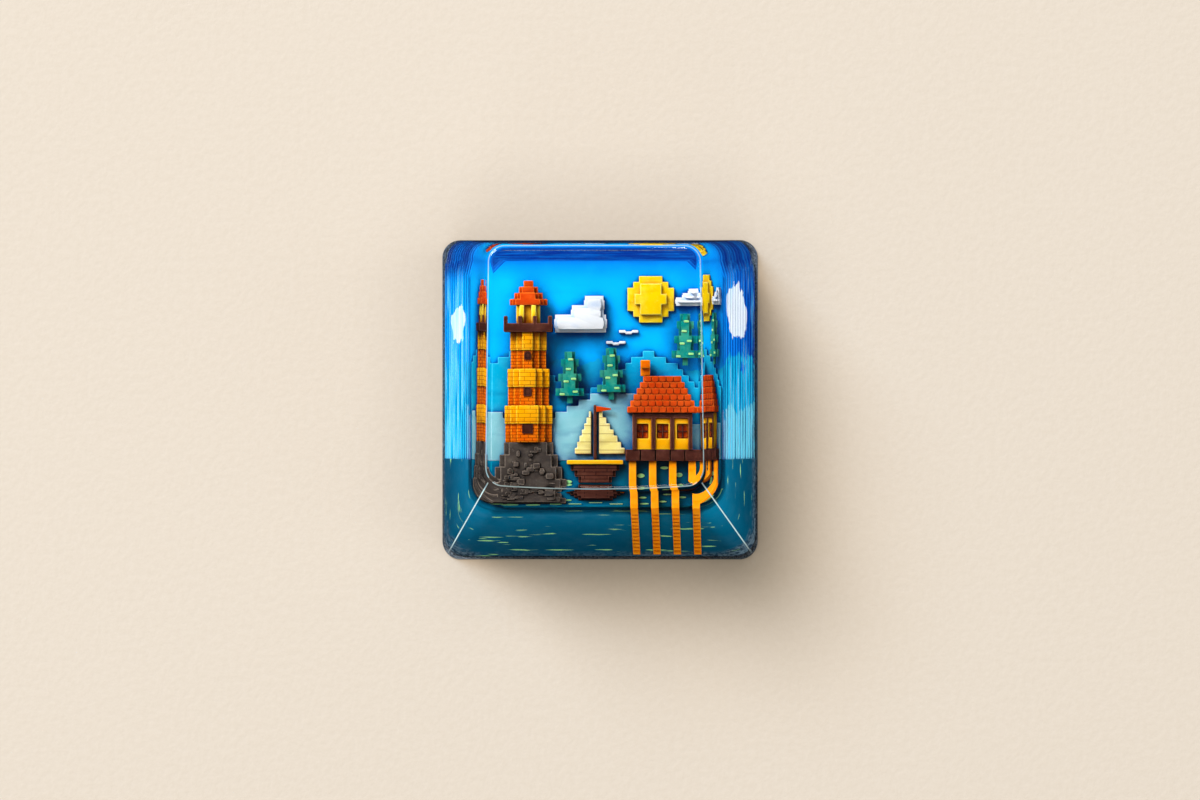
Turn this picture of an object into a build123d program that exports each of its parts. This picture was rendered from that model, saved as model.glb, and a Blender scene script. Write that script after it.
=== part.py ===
from build123d import *
import os
from math import pi, sin

# Clear cap: base outline, finger surface outline and heights, in millimetres
cap_width = 18.2
cap_depth = 18.4
cap_corner = 1.0
cap_base_edge = 0.1
top_width = 12.2
top_length = 13.4
top_back_inset = 0.45
front_height = 10.8
back_height = 11.6
dish_depth = 0.6
rim_edge = 0.13

# Core: height of its deck, clear wall around it, steps of its flanks
deck_height = 6.2
core_recess = 0.15
core_base_clear = 0.4
core_deck_clear = 1.0
core_steps = 13
core_corner = 1.0
sea_skin = 0.03
sea_corner = 1.1

# Underside: hollow for the switch, stem with a cross socket
core_wall = 0.85
hollow_height = 4.6
hollow_corner = 1.0
stem_radius = 2.75
stem_recess = 0.7
stem_root = 0.3
cross_length = 4.1
cross_bar_wide = 1.32
cross_bar_narrow = 1.18
cross_depth = 3.7
cross_lead = 0.15

# Relief: the picture is a grid of cells on the deck, its heights are counted in steps
picture_columns = 36
picture_rows = 38
picture_margin = 0.25
relief_step = 0.3
hill_level = 1
ground_level = 2

# Hills and water, in cells
water_rows = 6
near_hill_rows = 9
near_hill_swing = 2.6
near_hill_waves = 1.25
near_hill_phase = 3.4
far_hill_rows = 14.5
far_hill_swing = 3.2
far_hill_waves = 1.6
far_hill_phase = 0.4

# Light tower on a rock, in cells
rock_row = 1
rock_foot = 13
rock_tiers = 4
rock_tier_rows = 2
rock_taper = 1.5
tower_tiers = 6
tower_tier_rows = 3
tower_foot = 8
tower_taper = 0.5
tower_layers = 3
tower_layer_inset = 1.1
band_overlap = 0.35
gallery_overhang = 1.4
gallery_rows = 1.4
rail_posts = 4
rail_rows = 1.2
rail_post_wide = 0.7
lantern_wide = 4
lantern_rows = 3
lantern_panes = 2
lantern_pane_wide = 0.8
roof_tiers = 4
roof_foot = 6.4
roof_tier_rows = 1

# Sailing boat, in cells
boat_row = 2.4
boat_gap = 0.1
hull_tiers = 3
hull_keel = 5.6
hull_flare = 1.3
hull_tier_rows = 1
gunwale_rows = 0.7
mast_wide = 0.5
mast_rows = 9
sail_gap = 0.4
sail_tiers = 7
sail_tier_rows = 1
main_sail_wide = 4.4
fore_sail_wide = 2.8
ripple_count = 3
ripple_pitch = 3.4
ripple_wide = 2.2
ripple_tall = 0.28
ripple_row = 0.8

# Cottage on a pier, in cells, with the posts' thickness on the flank in millimetres
pier_gap = 0.4
pier_rows = 1.8
pier_planks = 5
pier_plank_gap = 0.25
post_count = 4
post_wide = 1.2
post_face = 0.32
post_low_step = 1
wall_inset = 1.2
wall_rows = 6
window_count = 3
window_wide = 2
window_tall = 2.4
beam_rows = 0.9
frame_post_wide = 0.7
cottage_roof_tiers = 6
cottage_roof_overhang = 0.9
cottage_roof_taper = 1.1
cottage_roof_tier_rows = 1
chimney_inset = 2.2
chimney_wide = 1.6
chimney_rows = 2.6

# Pine trees, in cells
pine_gap = 0.3
pine_tiers = 3
pine_tier_rows = 2.4
pine_tier_wide = 4.8
pine_tier_taper = 0.9
pine_bough_share = 0.6
pine_layer_inset = 0.8
pine_trunk_wide = 0.9
pine_trunk_rows = 1.2

# Sun, clouds and gulls, in cells
sun_right = 8.6
sun_back = 5.6
sun_radius = 3.8
cloud_puffs = 3
cloud_taper = 0.62
cloud_tall = 0.32
cloud_pitch = 0.17
cloud_shift = 0.13
large_cloud_wide = 9
small_cloud_wide = 4.2
gull_wing = 1.1
gull_tall = 0.45

rim_height = (front_height + back_height) / 2


def blend(low, high, share):
    return low + (high - low) * share


# Half width, front and back of the clear cap at a height
def half_width(height):
    return blend(cap_width, top_width, height / rim_height) / 2


def back_y(height):
    return cap_depth / 2 - top_back_inset * height / rim_height


def front_y(height):
    top_front = cap_depth / 2 - top_back_inset - top_length
    return blend(-cap_depth / 2, top_front, height / rim_height)


# Clear wall around the core at a height, and the height of a step's top
def core_clear(height):
    return blend(core_base_clear, core_deck_clear, height / deck_height)


def step_height(step):
    return deck_height * (step + 1) / core_steps


picture_width = 2 * (half_width(deck_height) - core_deck_clear - picture_margin)
picture_front = front_y(deck_height) + core_deck_clear + picture_margin
picture_back = back_y(deck_height) - core_deck_clear - picture_margin
cell_width = picture_width / picture_columns
cell_length = (picture_back - picture_front) / picture_rows


# Place of a cell, counted from the picture's front left corner
def cell(column, row):
    return (column * cell_width - picture_width / 2, picture_front + row * cell_length)


# Adds a block of cells, centred on a column, to the open sketch
def cells(centre, row, wide, tall):
    with Locations(cell(centre, row)):
        Rectangle(wide * cell_width, tall * cell_length, align=(Align.CENTER, Align.MIN))


# Adds a tapered stack of cells to the open sketch, lowest tier first
def tiers(centre, row, count, foot, taper, tall):
    for tier in range(count):
        cells(centre, row + tier * tall, foot - taper * tier, tall)


def level(steps):
    return Plane.XY.offset(deck_height + steps * relief_step)


def rise(steps):
    return steps * relief_step


# Outline of a row of hills: the top edge goes up and down by whole cells
def hill_points(rows, swing, waves, phase):
    points = [cell(0, water_rows)]
    last = None
    for column in range(picture_columns):
        top = water_rows + round(rows + swing * sin(2 * pi * waves * column / picture_columns + phase))
        if top != last:
            points += [cell(column, last)] if last else []
            points.append(cell(column, top))
        last = top
    return points + [cell(picture_columns, last), cell(picture_columns, water_rows)]


os.makedirs("parts", exist_ok=True)

# Sea: a smooth apron over the front steps, as far back as the water on the deck
with BuildPart() as sea_apron:
    sea_line = cell(0, water_rows)[1]
    for height in (0, deck_height):
        front = front_y(height) + core_clear(height) - sea_skin
        with BuildSketch(Plane.XY.offset(height)) as outline:
            with Locations((0, (front + sea_line) / 2)):
                Rectangle(2 * (half_width(height) - core_clear(height) + sea_skin), sea_line - front)
            fillet(outline.vertices().group_by(Axis.Y)[0], sea_corner)
    loft(ruled=True)

# Outer form of the core: a stack of steps that narrow towards the deck, and the sea
with BuildPart() as core_form:
    for step in range(core_steps):
        top = step_height(step)
        front = front_y(top) + core_clear(top)
        back = back_y(top) - core_clear(top)
        with BuildSketch() as outline:
            with Locations((0, (front + back) / 2)):
                Rectangle(2 * (half_width(top) - core_clear(top)), back - front)
            chamfer(outline.vertices(), core_corner)
        extrude(amount=top)
    add(sea_apron.part)

# Core: the stepped form with a hollow underside and a stem with a cross socket
with BuildPart() as core:
    add(core_form.part)
    split(bisect_by=Plane.XY.offset(core_recess), keep=Keep.TOP)
    for height in (core_recess, hollow_height):
        inset = core_clear(height) + core_wall
        front = front_y(height) + inset
        back = back_y(height) - inset
        with BuildSketch(Plane.XY.offset(height)):
            with Locations((0, (front + back) / 2)):
                RectangleRounded(2 * (half_width(height) - inset), back - front, hollow_corner)
    loft(ruled=True, mode=Mode.SUBTRACT)
    with BuildSketch(Plane.XY.offset(stem_recess)):
        Circle(stem_radius)
    extrude(amount=hollow_height - stem_recess)
    rings = core.edges().filter_by(GeomType.CIRCLE)
    stem_rings = rings.filter_by(lambda e: abs(e.radius - stem_radius) < stem_root)
    chamfer(stem_rings.group_by(Axis.Z)[-1], stem_root)
    with BuildSketch(Plane.XY.offset(stem_recess)):
        Rectangle(cross_length, cross_bar_wide)
        Rectangle(cross_bar_narrow, cross_length)
    extrude(amount=cross_depth, mode=Mode.SUBTRACT)
    mouth = core.faces().filter_by(Axis.Z).sort_by(lambda f: abs(f.center().Z - stem_recess))[0]
    chamfer(mouth.edges().filter_by(GeomType.LINE), cross_lead)
core.part.label = "core"

# Hills and water: thin plates on the deck
with BuildPart() as far_hills:
    with BuildSketch(level(0)):
        with BuildLine():
            Polyline(*hill_points(far_hill_rows, far_hill_swing, far_hill_waves, far_hill_phase), close=True)
        make_face()
    extrude(amount=rise(hill_level))
far_hills.part.label = "far_hills"

with BuildPart() as near_hills:
    with BuildSketch(level(hill_level)):
        with BuildLine():
            Polyline(*hill_points(near_hill_rows, near_hill_swing, near_hill_waves, near_hill_phase), close=True)
        make_face()
    extrude(amount=rise(ground_level - hill_level))
near_hills.part.label = "near_hills"

with BuildPart() as water:
    with BuildSketch(level(0)):
        cells(picture_columns / 2, 0, picture_columns, water_rows)
    extrude(amount=rise(ground_level))
    chamfer(water.edges().filter_by(Axis.Z).group_by(Axis.Y)[0], core_corner)
water.part.label = "water"

# Light tower: rock, round-faced tower, bands, gallery, lantern and roof
tower_column = rock_foot / 2
tower_row = rock_row + rock_tiers * rock_tier_rows
with BuildPart() as rock:
    for layer in range(2):
        with BuildSketch(level(ground_level + layer)):
            tiers(tower_column, rock_row, rock_tiers, rock_foot - 2 * layer, rock_taper, rock_tier_rows)
        extrude(amount=rise(1))
rock.part.label = "rock"

with BuildPart() as tower:
    for layer in range(tower_layers):
        with BuildSketch(level(ground_level + layer)):
            foot = tower_foot - 2 * layer * tower_layer_inset
            tiers(tower_column, tower_row, tower_tiers, foot, tower_taper, tower_tier_rows)
        extrude(amount=rise(1))
tower.part.label = "tower"

with BuildPart() as tower_bands:
    for layer in range(tower_layers):
        with BuildSketch(level(ground_level)):
            for tier in range(1, tower_tiers, 2):
                width = tower_foot - tower_taper * tier - 2 * layer * tower_layer_inset + 2 * band_overlap
                cells(tower_column, tower_row + tier * tower_tier_rows, width, tower_tier_rows)
        extrude(amount=rise(layer + 1 + band_overlap))
    add(tower.part, mode=Mode.SUBTRACT)
tower_bands.part.label = "tower_bands"

gallery_row = tower_row + tower_tiers * tower_tier_rows
gallery_wide = tower_foot - tower_taper * (tower_tiers - 1) + 2 * gallery_overhang
lantern_row = gallery_row + gallery_rows
with BuildPart() as gallery:
    with BuildSketch(level(ground_level)):
        cells(tower_column, gallery_row, gallery_wide, gallery_rows)
    extrude(amount=rise(tower_layers + 1))
    with BuildSketch(level(ground_level + tower_layers)):
        for post in range(rail_posts):
            side = (post / (rail_posts - 1) - 0.5) * (gallery_wide - rail_post_wide)
            cells(tower_column + side, lantern_row, rail_post_wide, rail_rows)
    extrude(amount=rise(1))
gallery.part.label = "gallery"

with BuildPart() as lantern:
    with BuildSketch(level(ground_level)):
        cells(tower_column, lantern_row, lantern_wide, lantern_rows)
    extrude(amount=rise(tower_layers - 1))
    with BuildSketch(level(ground_level + tower_layers - 1)):
        for pane in range(lantern_panes):
            side = ((pane + 0.5) / lantern_panes - 0.5) * lantern_wide
            cells(tower_column + side, lantern_row, lantern_pane_wide, lantern_rows)
    extrude(amount=rise(1))
lantern.part.label = "lantern"

roof_row = lantern_row + lantern_rows
with BuildPart() as lantern_roof:
    for layer in range(tower_layers):
        with BuildSketch(level(ground_level + layer)):
            foot = roof_foot - layer * tower_layer_inset
            tiers(tower_column, roof_row, roof_tiers - layer, foot, roof_foot / roof_tiers, roof_tier_rows)
        extrude(amount=rise(1))
lantern_roof.part.label = "lantern_roof"

# Sailing boat: flared hull, gunwale, mast, two stepped sails
boat_wide = hull_keel + hull_flare * hull_tiers
boat_column = rock_foot + boat_gap + boat_wide / 2
gunwale_row = boat_row + hull_tiers * hull_tier_rows
mast_row = gunwale_row + gunwale_rows
with BuildPart() as boat_hull:
    for layer in range(2):
        with BuildSketch(level(ground_level + layer)):
            tiers(boat_column, boat_row, hull_tiers, hull_keel - layer, -hull_flare, hull_tier_rows)
        extrude(amount=rise(1))
boat_hull.part.label = "boat_hull"

with BuildPart() as boat_gunwale:
    with BuildSketch(level(ground_level)):
        cells(boat_column, gunwale_row, boat_wide, gunwale_rows)
    extrude(amount=rise(2.5))
boat_gunwale.part.label = "boat_gunwale"

with BuildPart() as boat_mast:
    with BuildSketch(level(ground_level)):
        cells(boat_column, mast_row, mast_wide, mast_rows)
    extrude(amount=rise(1.5))
boat_mast.part.label = "boat_mast"

with BuildPart() as boat_sails:
    with BuildSketch(level(ground_level)):
        for side, foot in [(1, main_sail_wide), (-1, fore_sail_wide)]:
            for tier in range(sail_tiers):
                width = foot * (1 - tier / sail_tiers)
                shift = side * (mast_wide / 2 + sail_gap + width / 2)
                cells(boat_column + shift, mast_row + (tier + 1) * sail_tier_rows, width, sail_tier_rows)
    extrude(amount=rise(1))
boat_sails.part.label = "boat_sails"

with BuildPart() as ripples:
    with BuildSketch(level(ground_level)):
        for ripple in range(ripple_count):
            column = boat_column + (ripple - (ripple_count - 1) / 2) * ripple_pitch
            cells(column, ripple_row + ripple % 2 * 2 * ripple_tall, ripple_wide, ripple_tall)
    extrude(amount=rise(0.4))
ripples.part.label = "ripples"

# Pier and cottage: planked deck, posts that run on down the front flank, walls, frame, roof
pier_column = boat_column + boat_wide / 2 + pier_gap
pier_wide = picture_columns - pier_gap - pier_column
pier_centre = pier_column + pier_wide / 2
plank_wide = pier_wide / pier_planks
with BuildPart() as pier:
    with BuildSketch(level(ground_level)):
        cells(pier_centre, water_rows, pier_wide, pier_rows)
    extrude(amount=rise(2))
    with BuildSketch(level(ground_level + 2)):
        for plank in range(pier_planks):
            cells(pier_column + plank_wide * (plank + 0.5), water_rows, plank_wide - pier_plank_gap, pier_rows)
    extrude(amount=rise(1))
pier.part.label = "pier"

post_pitch = (pier_wide - 2 * post_wide) / (post_count - 1)
post_columns = [pier_column + post_wide + post * post_pitch for post in range(post_count)]
post_reach = (post_face + picture_margin) / cell_length
with BuildPart() as pier_posts:
    with BuildSketch(level(ground_level)):
        for column in post_columns:
            cells(column, 0, post_wide, water_rows)
    extrude(amount=rise(2))
    with BuildSketch(level(0)):
        for column in post_columns:
            cells(column, -post_reach, post_wide, post_reach)
    extrude(amount=rise(ground_level + 2))
    for step in range(post_low_step, core_steps):
        top = step_height(step)
        flank = front_y(top) + core_clear(top)
        with BuildSketch(Plane.XY.offset(core_recess)):
            for column in post_columns:
                with Locations((cell(column, 0)[0], flank)):
                    Rectangle(post_wide * cell_width, 2 * post_face)
        extrude(amount=top - core_recess)
    add(core_form.part, mode=Mode.SUBTRACT)
pier_posts.part.label = "pier_posts"

wall_row = water_rows + pier_rows
wall_wide = pier_wide - 2 * wall_inset
beam_row = wall_row + wall_rows
with BuildPart() as cottage_walls:
    with BuildSketch(level(ground_level)):
        cells(pier_centre, wall_row, wall_wide, wall_rows)
    extrude(amount=rise(3))
    with BuildSketch(level(ground_level + 2)):
        for window in range(window_count):
            side = ((window + 0.5) / window_count - 0.5) * wall_wide
            cells(pier_centre + side, wall_row + (wall_rows - window_tall) / 2, window_wide, window_tall)
    extrude(amount=rise(1), mode=Mode.SUBTRACT)
cottage_walls.part.label = "cottage_walls"

with BuildPart() as cottage_frame:
    with BuildSketch(level(ground_level + 3)):
        cells(pier_centre, beam_row - beam_rows, wall_wide, beam_rows)
        for post in range(window_count + 1):
            side = (post / window_count - 0.5) * (wall_wide - frame_post_wide)
            cells(pier_centre + side, wall_row, frame_post_wide, wall_rows)
    extrude(amount=rise(0.5))
cottage_frame.part.label = "cottage_frame"

roof_wide = wall_wide + 2 * cottage_roof_overhang
ridge_row = beam_row + cottage_roof_tiers * cottage_roof_tier_rows
with BuildPart() as cottage_roof:
    for tier in range(cottage_roof_tiers):
        row = beam_row + tier * cottage_roof_tier_rows
        with BuildSketch(level(ground_level)):
            cells(pier_centre, row, roof_wide - cottage_roof_taper * tier, cottage_roof_tier_rows)
        extrude(amount=rise(4 - 2 * tier / cottage_roof_tiers))
cottage_roof.part.label = "cottage_roof"

chimney_column = pier_centre - wall_wide / 2 + chimney_inset
with BuildPart() as chimney:
    with BuildSketch(level(ground_level)):
        cells(chimney_column, ridge_row, chimney_wide, chimney_rows)
    extrude(amount=rise(2))
    with BuildSketch(level(ground_level + 2)):
        cells(chimney_column, ridge_row + chimney_rows / 2, chimney_wide, chimney_rows / 2)
    extrude(amount=rise(1))
chimney.part.label = "chimney"

# Pine trees: trunk and tiers of boughs, the inner layer stands higher
pine_row = mast_row + mast_rows + pine_gap
pine_places = [
    (tower_column + tower_foot / 2 + band_overlap + pine_gap + pine_tier_wide / 2, pine_row),
    (pier_centre - roof_wide / 2 - pine_gap - pine_tier_wide / 2, pine_row + 2 * pine_gap),
    (picture_columns - pine_gap - pine_tier_wide / 2, ridge_row + 6 * pine_gap),
]
pines = []
for column, row in pine_places:
    with BuildPart() as pine:
        with BuildSketch(level(ground_level)):
            cells(column, row, pine_trunk_wide, pine_trunk_rows)
        extrude(amount=rise(1))
        for layer in range(2):
            with BuildSketch(level(ground_level + layer)):
                for tier in range(pine_tiers):
                    foot_row = row + pine_trunk_rows + tier * pine_tier_rows
                    width = pine_tier_wide - pine_tier_taper * tier - 2 * pine_layer_inset * layer
                    cells(column, foot_row, width, pine_tier_rows / 2)
                    cells(column, foot_row + pine_tier_rows / 2, width * pine_bough_share, pine_tier_rows / 2)
            extrude(amount=rise(1))
    pine.part.label = f"pine_{len(pines) + 1}"
    pines.append(pine)

# Sun: stepped disc in two layers
sun_column = picture_columns - sun_right
sun_row = picture_rows - sun_back
with BuildPart() as sun:
    for layer in range(2):
        radius = sun_radius - layer
        slices = round(2 * radius)
        with BuildSketch(level(layer)):
            for index in range(slices):
                offset = 2 * radius * ((index + 0.5) / slices - 0.5)
                chord = 2 * round((radius ** 2 - offset ** 2) ** 0.5)
                cells(sun_column, sun_row + offset - radius / slices, chord, 2 * radius / slices)
        extrude(amount=rise(1))
sun.part.label = "sun"

# Clouds: puffs that get smaller upwards, in two layers
cloud_places = [
    (tower_column + tower_foot / 2 + large_cloud_wide / 2 + band_overlap, picture_rows - large_cloud_wide - 2,
     large_cloud_wide),
    (sun_column + sun_radius + small_cloud_wide / 2 + band_overlap, sun_row - small_cloud_wide / 4,
     small_cloud_wide),
]
clouds = []
for column, row, foot in cloud_places:
    with BuildPart() as cloud:
        for layer in range(2):
            with BuildSketch(level(2 * layer)):
                for puff in range(cloud_puffs):
                    puff_row = row + foot * cloud_pitch * puff + layer / 2
                    wide = foot * cloud_taper ** puff - layer
                    tall = foot * cloud_tall - layer
                    cells(column + foot * cloud_shift * puff, puff_row, wide - cloud_tall, tall)
                    cells(column + foot * cloud_shift * puff, puff_row + tall / 4, wide, tall / 2)
            extrude(amount=rise(2 - layer))
    cloud.part.label = f"cloud_{len(clouds) + 1}"
    clouds.append(cloud)

# Gulls: small marks in the sky with raised wing tips
with BuildPart() as gulls:
    with BuildSketch(level(0)):
        for index in range(2):
            column = sun_column - sun_radius - index * 2 * gull_wing
            row = sun_row - 1.5 * sun_radius - index * 4 * gull_tall
            cells(column, row, gull_wing, gull_tall)
            cells(column - gull_wing, row + gull_tall / 2, gull_wing, gull_tall)
            cells(column + gull_wing, row + gull_tall / 2, gull_wing, gull_tall)
    extrude(amount=rise(1))
gulls.part.label = "gulls"

relief = [far_hills, near_hills, water, rock, tower, tower_bands, gallery, lantern, lantern_roof,
          boat_hull, boat_gunwale, boat_mast, boat_sails, ripples, pier, pier_posts, cottage_walls,
          cottage_frame, cottage_roof, chimney, *pines, sun, *clouds, gulls]

# Clear cap: tapered body with a dished, round-edged finger surface, cast round the core and its relief
dish_radius = top_width ** 2 / (8 * dish_depth) + dish_depth / 2
front_rim = Vector(0, front_y(rim_height), front_height)
back_rim = Vector(0, back_y(rim_height), back_height)
body_height = back_height + dish_depth
with BuildPart() as clear_shell:
    with BuildSketch(Plane.YZ):
        with BuildLine():
            Polyline((front_y(0), 0), (back_y(0), 0), (back_y(body_height), body_height),
                     (front_y(body_height), body_height), close=True)
        make_face()
    extrude(amount=cap_width, both=True)
    with BuildSketch(Plane.XZ):
        with BuildLine():
            Polyline((-half_width(0), 0), (half_width(0), 0), (half_width(body_height), body_height),
                     (-half_width(body_height), body_height), close=True)
        make_face()
    extrude(amount=cap_depth, both=True, mode=Mode.INTERSECT)
    fillet(clear_shell.edges().filter_by(lambda e: abs(e.tangent_at(0).Z) > 0.5), cap_corner)
    chamfer(clear_shell.faces().sort_by(Axis.Z)[0].edges(), cap_base_edge)
    with BuildSketch(Plane(origin=(front_rim + back_rim) / 2, x_dir=(1, 0, 0), z_dir=front_rim - back_rim)):
        with Locations((0, dish_radius - dish_depth)):
            Circle(dish_radius)
    extrude(amount=cap_depth, both=True, mode=Mode.SUBTRACT)
    dish = clear_shell.faces().filter_by(GeomType.CYLINDER).sort_by(SortBy.RADIUS)[-1]
    chamfer(dish.edges(), rim_edge)
    add([core_form.part] + [piece.part for piece in relief], mode=Mode.SUBTRACT)
clear_shell.part.label = "clear_shell"

for piece in [clear_shell, core, *relief]:
    export_step(piece.part, f"parts/{piece.part.label}.step")
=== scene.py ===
import bpy
import math
import random
from mathutils import Matrix, Vector


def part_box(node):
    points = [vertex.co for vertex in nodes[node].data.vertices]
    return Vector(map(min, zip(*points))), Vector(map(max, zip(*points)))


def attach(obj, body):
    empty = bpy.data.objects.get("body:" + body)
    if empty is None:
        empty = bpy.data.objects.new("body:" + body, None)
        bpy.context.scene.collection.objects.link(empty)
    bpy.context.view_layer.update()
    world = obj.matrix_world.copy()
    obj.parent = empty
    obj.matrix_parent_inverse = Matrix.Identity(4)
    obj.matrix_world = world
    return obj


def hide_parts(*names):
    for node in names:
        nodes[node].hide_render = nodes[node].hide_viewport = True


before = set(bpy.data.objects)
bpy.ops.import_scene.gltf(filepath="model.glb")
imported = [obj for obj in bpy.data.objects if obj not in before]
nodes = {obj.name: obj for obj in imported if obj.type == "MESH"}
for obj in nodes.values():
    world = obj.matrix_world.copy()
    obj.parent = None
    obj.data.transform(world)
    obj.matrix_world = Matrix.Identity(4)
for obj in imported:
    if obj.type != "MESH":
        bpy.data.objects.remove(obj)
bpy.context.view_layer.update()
scene = bpy.context.scene
scene.view_settings.view_transform = "Standard"
mm = 0.001
hair = 0.01  # millimetres within which two places count as one
smoothAngle = math.radians(40)
facing = 0.9  # least part of a normal along the axis that a face looks along
print("frame loaded,", len(nodes), "nodes")


# Shared modelling steps; sizes are in millimetres

def deselectAll():
    if bpy.context.mode != "OBJECT":
        bpy.ops.object.mode_set(mode="OBJECT")
    bpy.ops.object.select_all(action="DESELECT")


def makeActive(piece):
    deselectAll()
    piece.select_set(True)
    bpy.context.view_layer.objects.active = piece


def newestPiece(name):
    piece = bpy.context.active_object
    piece.name = name
    piece.data.name = name
    return piece


def enterEdit(piece, kind):
    makeActive(piece)
    bpy.ops.object.mode_set(mode="EDIT")
    bpy.ops.mesh.select_mode(type=kind)


def leaveEdit():
    bpy.ops.object.mode_set(mode="OBJECT")


def editPicked(piece, kind, test):  # edit mode with only the wanted faces, edges or points selected
    enterEdit(piece, kind)
    bpy.ops.mesh.select_all(action="DESELECT")
    leaveEdit()
    mesh = piece.data
    for item in {"FACE": mesh.polygons, "EDGE": mesh.edges, "VERT": mesh.vertices}[kind]:
        item.select = test(item)
    bpy.ops.object.mode_set(mode="EDIT")


def editFaces(piece, test):
    editPicked(piece, "FACE", test)


def editEdges(piece, test, among=None):  # the test is given the edge's two ends
    def wanted(edge):
        a, b = (piece.data.vertices[i].co for i in edge.vertices)
        return (among is None or edge.index in among) and test(a, b)
    editPicked(piece, "EDGE", wanted)


def facingUp(face):
    return face.normal.z > facing


def upright(a, b, rise=hair):
    return abs(a.z - b.z) > rise * mm


def bevelPicked(width, steps, clamp=False):  # rounds the selected edges and leaves edit mode
    bpy.ops.mesh.bevel(offset=width * mm, segments=steps, profile=0.5, clamp_overlap=clamp)
    leaveEdit()


def settle(piece):  # place and size go into the mesh
    makeActive(piece)
    bpy.ops.object.transform_apply(location=True, rotation=True, scale=True)


def addModifier(piece, kind, **values):
    makeActive(piece)
    modifier = piece.modifiers.new(kind.title(), kind)
    for name, value in values.items():
        setattr(modifier, name, value)
    bpy.ops.object.modifier_apply(modifier=modifier.name)


def soften(piece, width, steps, angle=smoothAngle):  # rounds all sharp edges
    addModifier(piece, "BEVEL", width=width * mm, segments=steps, limit_method="ANGLE", angle_limit=angle)


def shadeSmooth(piece):
    makeActive(piece)
    bpy.ops.object.shade_smooth_by_angle(angle=smoothAngle)


def cutAway(piece, cutter):
    addModifier(piece, "BOOLEAN", operation="DIFFERENCE", solver="EXACT", object=cutter)
    bpy.data.objects.remove(cutter)


def blockAt(name, low, high):  # a block between two corners
    deselectAll()
    size = [(high[i] - low[i]) * mm for i in range(3)]
    middle = [(high[i] + low[i]) / 2 * mm for i in range(3)]
    bpy.ops.mesh.primitive_cube_add(size=1, location=middle, scale=size)
    piece = newestPiece(name)
    settle(piece)
    return piece


def joinPieces(name, pieces):
    deselectAll()
    for piece in pieces:
        piece.select_set(True)
    bpy.context.view_layer.objects.active = pieces[0]
    bpy.ops.object.join()
    piece = newestPiece(name)
    settle(piece)
    return piece


def copyAt(piece, shift):  # a moved copy with its own mesh
    twin = piece.copy()
    twin.data = piece.data.copy()
    scene.collection.objects.link(twin)
    twin.location = [value * mm for value in shift]
    settle(twin)
    return twin


def boxOf(node):  # low and high corner of a node
    low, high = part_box(node)
    return [value / mm for value in low], [value / mm for value in high]


# Colours and shared shader parts

def tint(red, green, blue):  # screen colour to linear
    def straight(value):
        value = value / 255
        return value / 12.92 if value <= 0.04045 else ((value + 0.055) / 1.055) ** 2.4
    return (straight(red), straight(green), straight(blue), 1)


def addNode(tree, kind, **values):
    node = tree.nodes.new(kind)
    for name, value in values.items():
        setattr(node, name, value)
    return node


def feed(tree, socket, source):  # a socket gets a link or a plain value
    if isinstance(source, bpy.types.NodeSocket):
        tree.links.new(source, socket)
    else:
        socket.default_value = source


def setSockets(node, values):
    for name, value in values.items():
        node.inputs[name].default_value = value


def mixColours(tree, factor, first, second, blend="MIX"):
    node = addNode(tree, "ShaderNodeMix", data_type="RGBA", blend_type=blend, clamp_factor=True)
    for place, source in ((0, factor), (6, first), (7, second)):  # the sockets of a colour mix
        feed(tree, node.inputs[place], source)
    return node.outputs[2]


def mixShaders(tree, factor, first, second):
    node = addNode(tree, "ShaderNodeMixShader")
    for socket, source in zip(node.inputs, (factor, first, second)):
        tree.links.new(source, socket)
    return node.outputs[0]


def sums(tree, operation, *values):
    node = addNode(tree, "ShaderNodeMath", operation=operation)
    for socket, value in zip(node.inputs, values):
        feed(tree, socket, value)
    return node.outputs[0]


def product(tree, first, *others):
    for other in others:
        first = sums(tree, "MULTIPLY", first, other)
    return first


def spread(tree, value, low, high, outLow=0.0, outHigh=1.0, smooth=False):
    node = addNode(tree, "ShaderNodeMapRange", interpolation_type="SMOOTHSTEP" if smooth else "LINEAR")
    names = ("Value", "From Min", "From Max", "To Min", "To Max")
    for name, source in zip(names, (value, low, high, outLow, outHigh)):
        feed(tree, node.inputs[name], source)
    return node.outputs[0]


def band(tree, value, low, high, *rest, smooth=False):  # a spread between two places in millimetres
    return spread(tree, value, low * mm, high * mm, *rest, smooth=smooth)


def between(tree, factor, first, second):
    return spread(tree, factor, 0.0, 1.0, first, second)


def objectPlace(tree):
    return addNode(tree, "ShaderNodeTexCoord").outputs["Object"]


def splitAxes(tree, vector):
    node = addNode(tree, "ShaderNodeSeparateXYZ")
    tree.links.new(vector, node.inputs[0])
    return node.outputs


def trueSlope(tree):
    return splitAxes(tree, addNode(tree, "ShaderNodeNewGeometry").outputs["True Normal"])


def noiseOn(tree, place, scale, detail, roughness, stretch=None):
    if stretch:
        mapping = addNode(tree, "ShaderNodeMapping")
        mapping.inputs["Scale"].default_value = stretch
        tree.links.new(place, mapping.inputs["Vector"])
        place = mapping.outputs[0]
    node = addNode(tree, "ShaderNodeTexNoise")
    tree.links.new(place, node.inputs["Vector"])
    setSockets(node, {"Scale": scale, "Detail": detail, "Roughness": roughness})
    return node.outputs["Fac"]


def addBump(tree, shader, height, strength, distance):
    bump = addNode(tree, "ShaderNodeBump")
    setSockets(bump, {"Strength": strength, "Distance": distance * mm})
    tree.links.new(height, bump.inputs["Height"])
    tree.links.new(bump.outputs[0], shader.inputs["Normal"])


def newMaterial(name):
    material = bpy.data.materials.new(name)
    material.use_nodes = True
    tree = material.node_tree
    return material, tree, tree.nodes["Principled BSDF"]


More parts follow.
